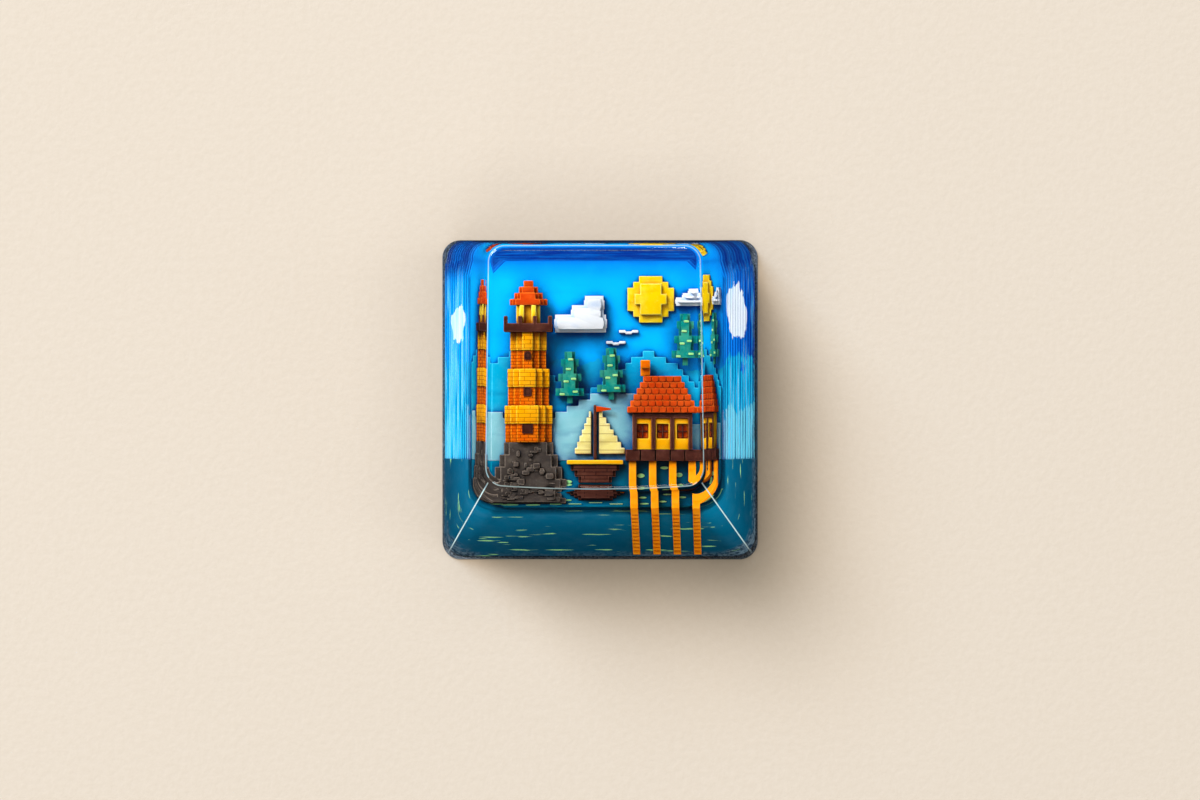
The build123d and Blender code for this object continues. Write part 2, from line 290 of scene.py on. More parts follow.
def groupTree(name, inputs, outputs):
    tree = bpy.data.node_groups.new(name, "ShaderNodeTree")
    for label, kind, value in inputs:
        socket = tree.interface.new_socket(label, in_out="INPUT", socket_type=kind)
        socket.default_value = value
    for label, kind in outputs:
        tree.interface.new_socket(label, in_out="OUTPUT", socket_type=kind)
    return tree, addNode(tree, "NodeGroupInput").outputs, addNode(tree, "NodeGroupOutput").inputs


def placeGroup(tree, group, values):
    node = addNode(tree, "ShaderNodeGroup", node_tree=group)
    for name, value in values.items():
        feed(tree, node.inputs[name], value)
    return node.outputs


brushSettings = {
    "soft": (1100, 3.0, 0.55), "fine": (5200, 3.0, 0.6), "brush": (1500, 2.0, 0.5, (0.35, 1.0, 1.0)),
    "cloudy": (0.42, 0.75, 0.0, 0.4), "streaky": (0.45, 0.25, 0.0, 0.4), "grainy": (0.6, 0.75, 0.0, 0.3),
    "notWall": (0.2, 0.35), "notFlat": (0.985, 0.94), "edgeGrain": (0.35, 0.55, 0.4, 1.0),
    "shadeFull": 0.35, "shadeGrain": (0.3, 0.7, 0.75, 1.1), "shadeSamples": 8,
}


def makeHandPaint():  # brushed paint: mottled coat and dark streaks, a painted highlight on the rounded edges and painted shade in the corners
    s = brushSettings
    tree, given, put = groupTree("paintWithLightAndShade", [
        ("Base", "NodeSocketColor", (0.5, 0.5, 0.5, 1)),
        ("Light", "NodeSocketColor", (0.8, 0.8, 0.8, 1)),
        ("Wash", "NodeSocketColor", (0.05, 0.05, 0.05, 1)),
        ("Reach", "NodeSocketFloat", 0.0006),
        ("Shade Depth", "NodeSocketFloat", 0.8),
        ("Shade Start", "NodeSocketFloat", 0.88),
        ("Edge", "NodeSocketFloat", 0.6),
        ("Mottle", "NodeSocketFloat", 1.0),
    ], [("Colour", "NodeSocketColor"), ("Height", "NodeSocketFloat")])
    light, wash, mottle = (given[name] for name in ("Light", "Wash", "Mottle"))
    place = objectPlace(tree)
    soft, fine, brush = (noiseOn(tree, place, *s[name]) for name in ("soft", "fine", "brush"))
    coat = mixColours(tree, product(tree, spread(tree, soft, *s["cloudy"]), mottle), given["Base"], light)
    coat = mixColours(tree, product(tree, spread(tree, brush, *s["streaky"]), mottle), coat, wash)
    coat = mixColours(tree, product(tree, spread(tree, fine, *s["grainy"]), mottle), coat, light)
    # painted highlight: the light tone on the sloped faces of rounded edges
    upward = trueSlope(tree)["Z"]
    rounded = product(tree, spread(tree, upward, *s["notWall"]), spread(tree, upward, *s["notFlat"]))
    edge = product(tree, rounded, spread(tree, fine, *s["edgeGrain"]), given["Edge"])
    coat = mixColours(tree, edge, coat, light)
    # painted shade: the dark tone where ambient occlusion finds corners and the feet of pieces
    shade = addNode(tree, "ShaderNodeAmbientOcclusion", samples=s["shadeSamples"])
    tree.links.new(given["Reach"], shade.inputs["Distance"])
    corner = spread(tree, shade.outputs["AO"], given["Shade Start"], s["shadeFull"])
    corner = product(tree, corner, spread(tree, soft, *s["shadeGrain"]), given["Shade Depth"])
    coat = mixColours(tree, corner, coat, wash)
    tree.links.new(coat, put["Colour"])
    tree.links.new(sums(tree, "ADD", fine, soft), put["Height"])
    return tree


paintWithLightAndShade = makeHandPaint()

courseSettings = {"smooth": 0.3, "dark": 0.8, "deep": 2.0}


def makeCourses():  # joints between bricks, planks or boards
    tree, given, put = groupTree("courses", [
        ("Wide", "NodeSocketFloat", 0.5), ("Tall", "NodeSocketFloat", 0.2), ("Gap", "NodeSocketFloat", 0.03),
    ], [("Joint", "NodeSocketFloat")])
    course = addNode(tree, "ShaderNodeTexBrick")
    tree.links.new(objectPlace(tree), course.inputs["Vector"])
    setSockets(course, {"Scale": 1 / mm, "Mortar Smooth": courseSettings["smooth"]})
    for label, socket in (("Wide", "Brick Width"), ("Tall", "Row Height"), ("Gap", "Mortar Size")):
        tree.links.new(given[label], course.inputs[socket])
    tree.links.new(course.outputs["Fac"], put["Joint"])
    return tree


courses = makeCourses()

coatSettings = {
    "shadeDepth": 1.0, "shadeStart": 0.92, "edge": 0.75, "reach": 0.6, "mottle": 0.8, "laid": None,
    "roughness": 0.4, "gloss": 0.0, "bump": (0.2, 0.03),  # under resin the paint has no gloss of its own
}


def paintMaterial(name, values):
    s = {**coatSettings, **values}
    base, light, wash = (tint(*s[tone]) for tone in ("base", "light", "wash"))
    material, tree, shader = newMaterial(name)
    paint = placeGroup(tree, paintWithLightAndShade, {
        "Base": base, "Light": light, "Wash": wash, "Reach": s["reach"] * mm, "Shade Depth": s["shadeDepth"],
        "Shade Start": s["shadeStart"], "Edge": s["edge"], "Mottle": s["mottle"]})
    colour, height = paint["Colour"], paint["Height"]
    if s["laid"]:
        joint = placeGroup(tree, courses, dict(zip(("Wide", "Tall", "Gap"), s["laid"])))["Joint"]
        colour = mixColours(tree, product(tree, joint, courseSettings["dark"]), colour, wash)
        height = sums(tree, "SUBTRACT", height, product(tree, joint, courseSettings["deep"]))
    tree.links.new(colour, shader.inputs["Base Color"])
    setSockets(shader, {"Roughness": s["roughness"], "Specular IOR Level": s["gloss"]})
    addBump(tree, shader, height, *s["bump"])
    return material


# Camera, floor and light

cameraSettings = {"place": (0.011, 0.0, 0.40), "aim": (0, 0, 0),
                  "lens": 208.5, "sensor": 36, "clip": (0.01, 5)}


def makeCamera():
    s = cameraSettings
    data = bpy.data.cameras.new("camera")
    data.lens, data.sensor_width = s["lens"], s["sensor"]
    data.clip_start, data.clip_end = s["clip"]
    camera = bpy.data.objects.new("camera", data)
    scene.collection.objects.link(camera)
    camera.location = s["place"]
    back = (Vector(s["place"]) - Vector(s["aim"])).normalized()
    right = Vector((0, 1, 0)).cross(back).normalized()
    camera.rotation_euler = Matrix((right, back.cross(right), back)).transposed().to_euler()
    scene.camera = camera


makeCamera()

floorSettings = {
    "size": 1.4, "drop": 0.02, "colour": (238, 226, 209), "dark": (231, 218, 199), "mirrored": (24, 28, 34),
    "fibre": (2600, 3.0, 0.6), "fibreRange": (0.35, 0.65), "fibreShare": 0.35,
    "cloud": (25, 2.0, 0.5), "cloudShare": 0.3,
    "contactShade": (0.80, 0.79, 0.78, 1), "contactReach": 6, "contactRange": (1.0, 0.55), "contactSamples": 8,
    "roughness": 0.9, "gloss": 0.1, "bump": (0.2, 0.1),
}


def makeFloor():
    s = floorSettings
    deselectAll()
    bpy.ops.mesh.primitive_plane_add(size=s["size"], location=(0, 0, -s["drop"] * mm))
    floor = newestPiece("paperFloor")
    material, tree, shader = newMaterial("paper")
    place = objectPlace(tree)
    fibre = noiseOn(tree, place, *s["fibre"])
    cloud = product(tree, noiseOn(tree, place, *s["cloud"]), s["cloudShare"])
    mask = sums(tree, "MULTIPLY_ADD", spread(tree, fibre, *s["fibreRange"]), s["fibreShare"], cloud)
    colour = mixColours(tree, mask, tint(*s["colour"]), tint(*s["dark"]))
    # painted shade: the paper darkened where ambient occlusion finds the cap close by
    contactShade = addNode(tree, "ShaderNodeAmbientOcclusion", samples=s["contactSamples"])
    contactShade.inputs["Distance"].default_value = s["contactReach"] * mm
    near = spread(tree, contactShade.outputs["AO"], *s["contactRange"])
    colour = mixColours(tree, near, colour, s["contactShade"], "MULTIPLY")
    path = addNode(tree, "ShaderNodeLightPath")  # painted reflection: glossy rays see the paper dark, so the polished cap mirrors a dark floor
    colour = mixColours(tree, path.outputs["Is Glossy Ray"], colour, tint(*s["mirrored"]))
    tree.links.new(colour, shader.inputs["Base Color"])
    setSockets(shader, {"Roughness": s["roughness"], "Specular IOR Level": s["gloss"]})
    addBump(tree, shader, fibre, *s["bump"])
    floor.data.materials.append(material)


makeFloor()

lightSettings = {
    "keyLamp": {"place": (-0.56, 0.69, 0.78), "size": (0.58, 0.58), "power": 15.1,
                "colour": (0.98, 1.01, 1.08)},
    "rightLamp": {"place": (0.36, 0.02, 0.30), "size": (0.12, 0.12), "power": 0.12,
                  "colour": (0.96, 0.98, 1.0)},
    "frontLamp": {"place": (-0.06, -0.36, 0.30), "size": (0.12, 0.12), "power": 0.12,
                  "colour": (1.0, 0.98, 0.95)},
    "insideLeft": {"place": (-0.40, 0.02, 0.03), "size": (0.24, 0.05), "power": 0.9, "inside": True},
    "insideRight": {"place": (0.40, 0.02, 0.03), "size": (0.24, 0.05), "power": 1.6, "inside": True},
    "insideFront": {"place": (0.02, -0.40, 0.04), "size": (0.24, 0.05), "power": 0.8, "inside": True},
    "insideBack": {"place": (0.02, 0.40, 0.03), "size": (0.24, 0.05), "power": 0.25, "inside": True},
}
roomSettings = {"colour": (1.0, 0.93, 0.82, 1), "strength": 0.30, "mirrored": 0.06}
flankPieces = bpy.data.collections.new("flankPieces")


def makeLights():
    for name, lamp in lightSettings.items():
        data = bpy.data.lights.new(name, "AREA")
        data.shape = "RECTANGLE"
        data.size, data.size_y = lamp["size"]
        data.energy = lamp["power"]
        data.color = lamp.get("colour", (1.0, 1.0, 1.0))
        light = bpy.data.objects.new(name, data)
        scene.collection.objects.link(light)
        light.location = lamp["place"]
        light.rotation_euler = (-Vector(lamp["place"])).to_track_quat("-Z", "Y").to_euler()
        if lamp.get("inside"):  # light that the resin gathers, for the flanks alone
            light.light_linking.receiver_collection = flankPieces


def makeRoom():
    s = roomSettings
    world = bpy.data.worlds.new("room")
    scene.world = world
    world.use_nodes = True
    tree = world.node_tree
    back = tree.nodes["Background"]
    back.inputs["Color"].default_value = s["colour"]
    path = addNode(tree, "ShaderNodeLightPath")  # the ceiling is dark in the polished dish
    level = between(tree, path.outputs["Is Glossy Ray"], s["strength"], s["mirrored"])
    tree.links.new(level, back.inputs["Strength"])


makeLights()
makeRoom()
print("camera, floor and lights made")

# Clear cap, cast round the painted core

capSettings = {
    "half": 9.1, "front": -9.2, "back": 9.2, "tall": 12.0,
    "sideSlope": 0.26786, "frontSlope": 0.40625, "backSlope": 0.04018,
    "corner": 1.0, "cornerSteps": 23, "cornerRise": 5, "base": 0.001, "baseEdge": 0.1, "baseSteps": 2,
    "rimFront": (-4.65, 10.8), "rimBack": (8.75, 11.6),
    "dishRadius": 31.31, "dishDepth": 0.6, "dishSteps": 84, "dishLong": 60,
    "rim": 0.36, "rimSteps": 9, "rimSharp": 32, "rimAbove": 9,
    "plugLow": (-1.0, 8.647, -8.75, 8.40), "plugHigh": (5.4, 6.25, -5.55, 7.566),
    "plugCorner": 1.4, "plugSteps": 4, "plugRise": 3,
}


def taperedBlock(name, low, high):  # (z, half width, front, back) at the bottom and at the top
    deselectAll()
    bpy.ops.mesh.primitive_cube_add(size=2 * mm)
    piece = newestPiece(name)
    for level, side in ((low, -1), (high, 1)):
        editFaces(piece, lambda face: abs(face.center.z - side * mm) < hair * mm)
        height, half, front, back = level
        bpy.ops.transform.resize(value=(half, (back - front) / 2, 1), center_override=(0, 0, side * mm))
        bpy.ops.transform.translate(value=(0, (back + front) / 2 * mm, (height - side) * mm))
        leaveEdit()
    return piece


def makePlug():  # the space inside the core's wall, cut from what is cast round it
    s = capSettings
    plug = taperedBlock("plugCutter", s["plugLow"], s["plugHigh"])
    editEdges(plug, lambda a, b: upright(a, b, s["plugRise"]))
    bevelPicked(s["plugCorner"], s["plugSteps"])
    return plug


def dishTilt():  # how far the finger surface leans to the front
    (frontY, frontZ), (backY, backZ) = capSettings["rimFront"], capSettings["rimBack"]
    return math.atan2(backZ - frontZ, backY - frontY)


def makeDish():  # the cylinder that hollows the finger surface
    s = capSettings
    tilt = dishTilt()
    away = s["dishRadius"] - s["dishDepth"]
    middleY, middleZ = ((s["rimFront"][i] + s["rimBack"][i]) / 2 for i in range(2))
    deselectAll()
    bpy.ops.mesh.primitive_cylinder_add(
        vertices=s["dishSteps"], radius=s["dishRadius"] * mm, depth=s["dishLong"] * mm,
        location=(0, (middleY - math.sin(tilt) * away) * mm, (middleZ + math.cos(tilt) * away) * mm),
        rotation=(tilt - math.pi / 2, 0, 0))
    dish = newestPiece("dishCutter")
    settle(dish)
    return dish


def makeClearCap():
    s = capSettings
    tall = s["tall"]
    top = (tall, s["half"] - s["sideSlope"] * tall, s["front"] + s["frontSlope"] * tall,
           s["back"] - s["backSlope"] * tall)
    body = taperedBlock("clearCap", (0, s["half"], s["front"], s["back"]), top)
    editEdges(body, lambda a, b: upright(a, b, s["cornerRise"]))
    bevelPicked(s["corner"], s["cornerSteps"])
    cutAway(body, makeDish())
    editEdges(body, lambda a, b: False)
    bpy.ops.mesh.edges_select_sharp(sharpness=math.radians(s["rimSharp"]))
    leaveEdit()
    sharp = {edge.index for edge in body.data.edges if edge.select}
    editEdges(body, lambda a, b: min(a.z, b.z) > s["rimAbove"] * mm, among=sharp)
    bevelPicked(s["rim"], s["rimSteps"], clamp=True)
    editEdges(body, lambda a, b: max(a.z, b.z) < s["base"] * mm)
    bevelPicked(s["baseEdge"], s["baseSteps"])
    cutAway(body, makePlug())
    shadeSmooth(body)
    addModifier(body, "WEIGHTED_NORMAL", weight=100, keep_sharp=True)
    return body


resinSettings = {
    "haze": (260, 3.0, 0.6), "hazeRange": (0.5, 0.8, 0.0, 0.03),
    "smear": (900, 2.0, 0.5, (1.0, 0.25, 1.0)), "bump": (0.02, 0.02),
    "colour": (0.985, 0.995, 1.0, 1), "ior": 1.5,
    "onward": (0.66, 0.55, 0.43, 1), "inward": (0.97, 0.985, 1.0, 1), "toFloor": (0.34, 0.30, 0.25, 1),
}


def passLight(tree, shader):  # light reaches what is cast inside, less of it goes on to the floor
    s = resinSettings
    path = addNode(tree, "ShaderNodeLightPath")
    side = addNode(tree, "ShaderNodeNewGeometry").outputs["Backfacing"]
    through = addNode(tree, "ShaderNodeBsdfTransparent")
    tree.links.new(mixColours(tree, side, s["onward"], s["inward"]), through.inputs["Color"])
    dull = addNode(tree, "ShaderNodeBsdfDiffuse")  # what the floor gathers from the cap is not tinted
    dull.inputs["Color"].default_value = s["toFloor"]
    outside = sums(tree, "SUBTRACT", path.outputs["Is Diffuse Ray"], side)
    clear = mixShaders(tree, outside, shader.outputs[0], dull.outputs[0])
    clear = mixShaders(tree, path.outputs["Is Shadow Ray"], clear, through.outputs[0])
    tree.links.new(clear, tree.nodes["Material Output"].inputs["Surface"])


def clearResin():
    s = resinSettings
    material, tree, shader = newMaterial("clearResin")
    place = objectPlace(tree)
    haze, smear = (noiseOn(tree, place, *s[name]) for name in ("haze", "smear"))
    tree.links.new(spread(tree, haze, *s["hazeRange"]), shader.inputs["Roughness"])
    setSockets(shader, {"Base Color": s["colour"], "Transmission Weight": 1.0, "IOR": s["ior"]})
    addBump(tree, shader, smear, *s["bump"])
    passLight(tree, shader)
    return material


sandedSettings = {
    "grit": (9000, 2.0, 0.7), "gritRange": (0.42, 0.62), "dark": (34, 42, 52), "pale": (128, 137, 142),
    "scratch": (2600, 2.0, 0.6, (0.2, 1.0, 1.0)), "scratchRange": (0.55, 0.75, 0.0, 0.5),
    "scratched": (168, 174, 175), "roughRange": (0.3, 0.7, 0.45, 0.75), "bump": (0.5, 0.03),
}


def sandedResin():  # the bottom ring, sanded flat
    s = sandedSettings
    material, tree, shader = newMaterial("sandedResin")
    place = objectPlace(tree)
    grit, scratch = (noiseOn(tree, place, *s[name]) for name in ("grit", "scratch"))
    colour = mixColours(tree, spread(tree, grit, *s["gritRange"]), tint(*s["dark"]), tint(*s["pale"]))
    colour = mixColours(tree, spread(tree, scratch, *s["scratchRange"]), colour, tint(*s["scratched"]))
    tree.links.new(colour, shader.inputs["Base Color"])
    tree.links.new(spread(tree, grit, *s["roughRange"]), shader.inputs["Roughness"])
    addBump(tree, shader, grit, *s["bump"])
    return material


edgeHighlightSettings = {
    "fleck": (700, 2.0, 0.6), "fleckRange": (0.3, 0.6, 0.75, 1.0),
    "dim": (190, 244, 250), "bright": (226, 255, 255),
    "lowFade": (0.2, 2.4), "rimFade": (9.4, 9.9, 1.0, 0.42), "roughness": 0.35,
    "glow": (0.84, 1.0, 1.0, 1), "glowStrength": 0.36,
}


def paintedEdgeHighlight():  # painted highlight: a pale, faintly glowing line along the rim and the two front corner edges
    s = edgeHighlightSettings
    material, tree, shader = newMaterial("paintedEdgeHighlight")
    place = objectPlace(tree)
    z = splitAxes(tree, place)["Z"]
    fleck = noiseOn(tree, place, *s["fleck"])
    alpha = product(tree, band(tree, z, *s["lowFade"]), spread(tree, fleck, *s["fleckRange"]),
                    band(tree, z, *s["rimFade"]))
    tree.links.new(alpha, shader.inputs["Alpha"])
    tree.links.new(mixColours(tree, fleck, tint(*s["dim"]), tint(*s["bright"])), shader.inputs["Base Color"])
    setSockets(shader, {"Roughness": s["roughness"], "Emission Color": s["glow"],
                        "Emission Strength": s["glowStrength"]})
    return material


facetSettings = {
    "ringBelow": 0.06, "ringSlope": -0.5,
    "arrisFrom": 4, "arrisTo": 7, "arrisSlope": -0.3, "arrisSlack": 0.06,
    "rimAbove": 9.9, "rimSlopes": (0.15, 0.97), "rimShare": 0.35,
}


def onSandedRing(face):
    s = facetSettings
    return face.normal.z < s["ringSlope"] and face.center.z < s["ringBelow"] * mm


def onFrontArris(face):  # the middle facet of a front corner edge
    s = facetSettings
    slope = face.normal
    middle = slope.y < s["arrisSlope"] and abs(abs(slope.x) + slope.y) < s["arrisSlack"]
    return middle and s["arrisFrom"] * mm < face.center.z < s["arrisTo"] * mm


def onRimLine(face):  # the middle facet of the rounded rim
    s = facetSettings
    slope, middle = face.normal, face.center / mm
    low, high = s["rimSlopes"]
    if middle.z < s["rimAbove"] or not low < slope.z < high:
        return False
    across = Vector((slope.x, slope.y)).normalized()
    dish = math.degrees(across.x * -middle.x / capSettings["dishRadius"] - across.y * dishTilt())
    endSlope = capSettings["frontSlope"] if across.y < 0 else capSettings["backSlope"]
    lean = math.atan(capSettings["sideSlope"]) * across.x ** 2 + math.atan(endSlope) * across.y ** 2
    wall = 90 - math.degrees(lean)
    halfFacet = (wall - dish) / capSettings["rimSteps"] * s["rimShare"]
    return abs(math.degrees(math.acos(slope.z)) - (wall + dish) / 2) < halfFacet


clearCap = makeClearCap()
for material in (clearResin(), sandedResin(), paintedEdgeHighlight()):
    clearCap.data.materials.append(material)
for face in clearCap.data.polygons:
    if onSandedRing(face):
        face.material_index = 1
    elif onFrontArris(face) or onRimLine(face):
        face.material_index = 2
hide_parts("clear_shell")
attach(clearCap, "root")
print("clear cap made,", len(clearCap.data.polygons), "faces")

# Painted core

copySettings = {"merge": 0.0005, "flat": 2}


def copyNode(node, name):  # a merged copy of a node's mesh
    piece = bpy.data.objects.new(name, nodes[node].data.copy())
    piece.data.name = name
    piece.data.materials.clear()
    scene.collection.objects.link(piece)
    enterEdit(piece, "FACE")
    bpy.ops.mesh.select_all(action="SELECT")
    bpy.ops.mesh.remove_doubles(threshold=copySettings["merge"] * mm)
    bpy.ops.mesh.dissolve_limited(angle_limit=math.radians(copySettings["flat"]))
    leaveEdit()
    return piece


# step, tread and crest are tones of painted highlight on the flank steps
coreTones = {
    "skyBright": (0, 178, 252), "skyDeep": (0, 118, 226), "skyEdge": (0, 52, 146),
    "skyLight": (20, 196, 255), "skyShade": (0, 30, 122), "backDeep": (0, 56, 132), "backPale": (0, 104, 184),
    "farHill": (20, 180, 220), "nearHill": (150, 208, 226),
    "leftHill": (34, 190, 222), "rightHill": (116, 212, 228),
    "waterTop": (0, 104, 136), "waterLow": (0, 74, 100), "waterShade": (0, 24, 42), "foam": (160, 226, 140),
    "cloud": (240, 245, 248), "step": (10, 205, 255), "tread": (196, 246, 255), "crest": (200, 246, 255),
    "grit": (94, 112, 122), "gritDark": (34, 44, 58),
}
coreSettings = {
    "edge": 0.07, "edgeSteps": 2, "flank": (6.1, 5.0), "rough": (620, 3.0, 0.6), "wobble": 3.4,
    "leftShare": -0.6, "sideSky": (4, 8), "backSky": (6.2, 8.6), "lowSky": (4.2, 0.3, 0.0, 0.8),
    "rightSky": (-4, 5, 0.1, 1.0), "behind": (6.6, 7.9),
    "brushed": (900, 3.0, 0.6, (0.25, 2.6, 2.6)), "brushedRange": (0.45, 0.65),
    "sea": (5.8, 1.5), "sideways": (0.45, 0.7), "foamRange": (0.66, 0.7),
    "foamAcross": (900, 2.0, 0.55, (0.45, 3.0, 3.0)), "foamAlong": (900, 2.0, 0.55, (3.0, 0.45, 3.0)),
    "shoreBlur": 0.02, "hillLines": (-0.5, 2.1), "lineBlur": 0.05,
    "leftToRight": (-1, 1), "front": (-5.0, -6.6),
    "clouds": [(-1, 4.4, 3.4, 1.2, 1.7), (1, 5.0, 3.6, 1.6, 1.9)], "cloudFrom": (6.3, 6.5),
    "cloudEdge": (1.03, 0.97), "offBack": (5.4, 8.0, 1.0, 0.0),
    "ridge": (800, 2.0, 0.6, (0.9, 0.22, 1.4)), "crestRange": (0.46, 0.6), "stepShare": 0.4,
    "grain": (4200, 2.0, 0.7), "grainRange": (0.42, 0.58),
    "gritLow": (0.95, 0.4), "gritSide": (-6, 7, 0.25, 0.85), "gritPatch": (0.3, 0.55),
    "bareCorner": (15.7, 16.2), "bareLow": (3.2, 2.0), "bareShare": 0.8,
    "treadSlope": (0.85, 0.95), "treadShare": 0.75, "crestShare": 0.85,
    "shadeShare": (0.88, 0.3), "shadeStart": 0.97, "mottle": (0.25, 0.04), "reach": (1.3, 0.26),
    "deckShade": 1.5, "flankShade": (0.55, 0.4, 0.7, 2.0), "frontShade": 0.3,
    "roughness": 0.45, "gloss": 0.0, "bump": (0.08, 0.02),
}
coreInside = {"below": 5, "deep": 1.3, "deepSum": 3.2, "lowerRim": 0.2, "notUp": 0.5}


def skyTone(tree, place, tones, onFlank):
    s = coreSettings
    x, y, z = splitAxes(tree, place)
    aside = sums(tree, "MAXIMUM", x, product(tree, x, s["leftShare"]))  # painted light: the left flank, on the key lamp's side, is painted paler
    sideways = band(tree, aside, *s["sideSky"], smooth=True)
    sky = mixColours(tree, sideways, tones["skyBright"], tones["skyDeep"])
    sky = mixColours(tree, band(tree, y, *s["backSky"], smooth=True), sky, tones["skyDeep"])
    # painted shade: the sky darker low down and towards the right flank, away from the key lamp
    deepEdge = product(tree, band(tree, z, *s["lowSky"]), band(tree, x, *s["rightSky"]))
    sky = mixColours(tree, deepEdge, sky, tones["skyEdge"])
    behind = product(tree, onFlank, band(tree, y, *s["behind"], smooth=True))
    brushed = spread(tree, noiseOn(tree, place, *s["brushed"]), *s["brushedRange"])
    return mixColours(tree, behind, sky, mixColours(tree, brushed, tones["backDeep"], tones["backPale"]))


def seaTone(tree, place, tones, slope):
    s = coreSettings
    depth = band(tree, splitAxes(tree, place)["Z"], *s["sea"])
    water = mixColours(tree, depth, tones["waterTop"], tones["waterLow"])
    sideways = spread(tree, sums(tree, "ABSOLUTE", slope["X"]), *s["sideways"])
    across, along = (noiseOn(tree, place, *s[name]) for name in ("foamAcross", "foamAlong"))
    foam = spread(tree, mixColours(tree, sideways, across, along), *s["foamRange"])
    return mixColours(tree, foam, water, tones["foam"])


def flankClouds(tree, x, line, z):  # one cloud on each side, as a mask
    s = coreSettings
    cloudy = 0.0
    for side, middleY, middleZ, wide, tall in s["clouds"]:
        shareY = sums(tree, "DIVIDE", sums(tree, "SUBTRACT", line, middleY * mm), wide * mm)
        shareZ = sums(tree, "DIVIDE", sums(tree, "SUBTRACT", z, middleZ * mm), tall * mm)
        reached = sums(tree, "ADD", product(tree, shareY, shareY), product(tree, shareZ, shareZ))
        low, high = s["cloudFrom"]
        puff = product(tree, spread(tree, reached, *s["cloudEdge"]), band(tree, x, side * low, side * high))
        cloudy = sums(tree, "MAXIMUM", puff, cloudy)
    return cloudy


def coreScenery():
    s = coreSettings
    tones = {name: tint(*values) for name, values in coreTones.items()}
    material, tree, shader = newMaterial("coreScenery")
    place, slope = objectPlace(tree), trueSlope(tree)
    x, y, z = splitAxes(tree, place)
    rough, ridge, grain = (noiseOn(tree, place, *s[name]) for name in ("rough", "ridge", "grain"))
    wobble = product(tree, sums(tree, "SUBTRACT", rough, 0.5), s["wobble"] * mm)
    line = sums(tree, "ADD", y, wobble)
    onFlank = band(tree, z, *s["flank"])
    shore, blur = boxOf("water")[1][1], s["shoreBlur"]  # the sea ends where the water on the deck does
    ashore = band(tree, y, shore - blur, shore + blur)
    overNear, overFar = (band(tree, line, at - s["lineBlur"], at + s["lineBlur"]) for at in s["hillLines"])
    flankHill = mixColours(tree, band(tree, x, *s["leftToRight"]), tones["leftHill"], tones["rightHill"])
    nearHill = mixColours(tree, onFlank, tones["nearHill"], flankHill)
    hills = mixColours(tree, overNear, nearHill, tones["farHill"])
    scenery = mixColours(tree, ashore, seaTone(tree, place, tones, slope), hills)
    scenery = mixColours(tree, overFar, scenery, skyTone(tree, place, tones, onFlank))
    cloudy = flankClouds(tree, x, line, z)
    scenery = mixColours(tree, cloudy, scenery, tones["cloud"])
    ridged = product(tree, ashore, band(tree, y, *s["offBack"], smooth=True))  # less the sea and the back
    crest = product(tree, spread(tree, ridge, *s["crestRange"]), ridged)  # painted highlight: noise picks steps that are painted brighter
    onSteps = product(tree, crest, onFlank)
    scenery = mixColours(tree, product(tree, onSteps, s["stepShare"]), scenery, tones["step"])
    grit = mixColours(tree, spread(tree, grain, *s["grainRange"]), tones["gritDark"], tones["grit"])
    gritty = product(tree, band(tree, z, *s["gritLow"]), band(tree, x, *s["gritSide"]),
                     spread(tree, rough, *s["gritPatch"]))
    scenery = mixColours(tree, gritty, scenery, grit)
    cornered = sums(tree, "ADD", sums(tree, "ABSOLUTE", x), sums(tree, "ABSOLUTE", line))
    bare = product(tree, band(tree, cornered, *s["bareCorner"]), band(tree, z, *s["bareLow"]), s["bareShare"])
    scenery = mixColours(tree, bare, scenery, grit)
    # painted highlight: the upward treads of the steps painted paler
    tread = product(tree, spread(tree, slope["Z"], *s["treadSlope"]), onSteps, s["treadShare"])
    scenery = mixColours(tree, tread, scenery, tones["tread"])
    # the pale tone of the painted highlight on the step edges
    crestTone = mixColours(tree, s["crestShare"], scenery, tones["crest"])
    # painted shade: the dark tone and depth of the shade around the relief and in the step corners
    deep = mixColours(tree, ashore, tones["waterShade"], tones["skyShade"])
    inFront = band(tree, y, *s["front"])
    depth = between(tree, onFlank, s["deckShade"], spread(tree, ridge, *s["flankShade"]))
    depth = product(tree, depth, between(tree, inFront, 1.0, s["frontShade"]))
    deckReach, flankReach = s["reach"]
    paint = placeGroup(tree, paintWithLightAndShade, {
        "Base": scenery, "Light": mixColours(tree, onFlank, tones["skyLight"], crestTone),
        "Wash": mixColours(tree, between(tree, cloudy, *s["shadeShare"]), scenery, deep),
        "Shade Start": s["shadeStart"], "Shade Depth": depth,
        "Mottle": between(tree, onFlank, *s["mottle"]), "Edge": crest,
        "Reach": between(tree, onFlank, deckReach * mm, flankReach * mm)})
    tree.links.new(paint["Colour"], shader.inputs["Base Color"])
    setSockets(shader, {"Roughness": s["roughness"], "Specular IOR Level": s["gloss"]})
    addBump(tree, shader, paint["Height"], *s["bump"])
    return material


charcoalSettings = {
    "speck": (3000, 4.0, 0.65), "speckRange": (0.6, 0.75, 0.0, 0.4),
    "cloud": (500, 2.0, 0.5), "cloudRange": (0.3, 0.7),
    "dark": (34, 35, 38), "grey": (52, 53, 57), "pale": (92, 93, 97),
    "rough": (0.35, 0.5), "bump": (0.15, 0.02),
}


def charcoalResin():  # the bare underside and stem
    s = charcoalSettings
    material, tree, shader = newMaterial("charcoalResin")
    place = objectPlace(tree)
    speck = noiseOn(tree, place, *s["speck"])
    cloudy = spread(tree, noiseOn(tree, place, *s["cloud"]), *s["cloudRange"])
    colour = mixColours(tree, cloudy, tint(*s["dark"]), tint(*s["grey"]))
    colour = mixColours(tree, spread(tree, speck, *s["speckRange"]), colour, tint(*s["pale"]))
    tree.links.new(colour, shader.inputs["Base Color"])
    tree.links.new(between(tree, cloudy, *s["rough"]), shader.inputs["Roughness"])
    addBump(tree, shader, speck, *s["bump"])
    return material


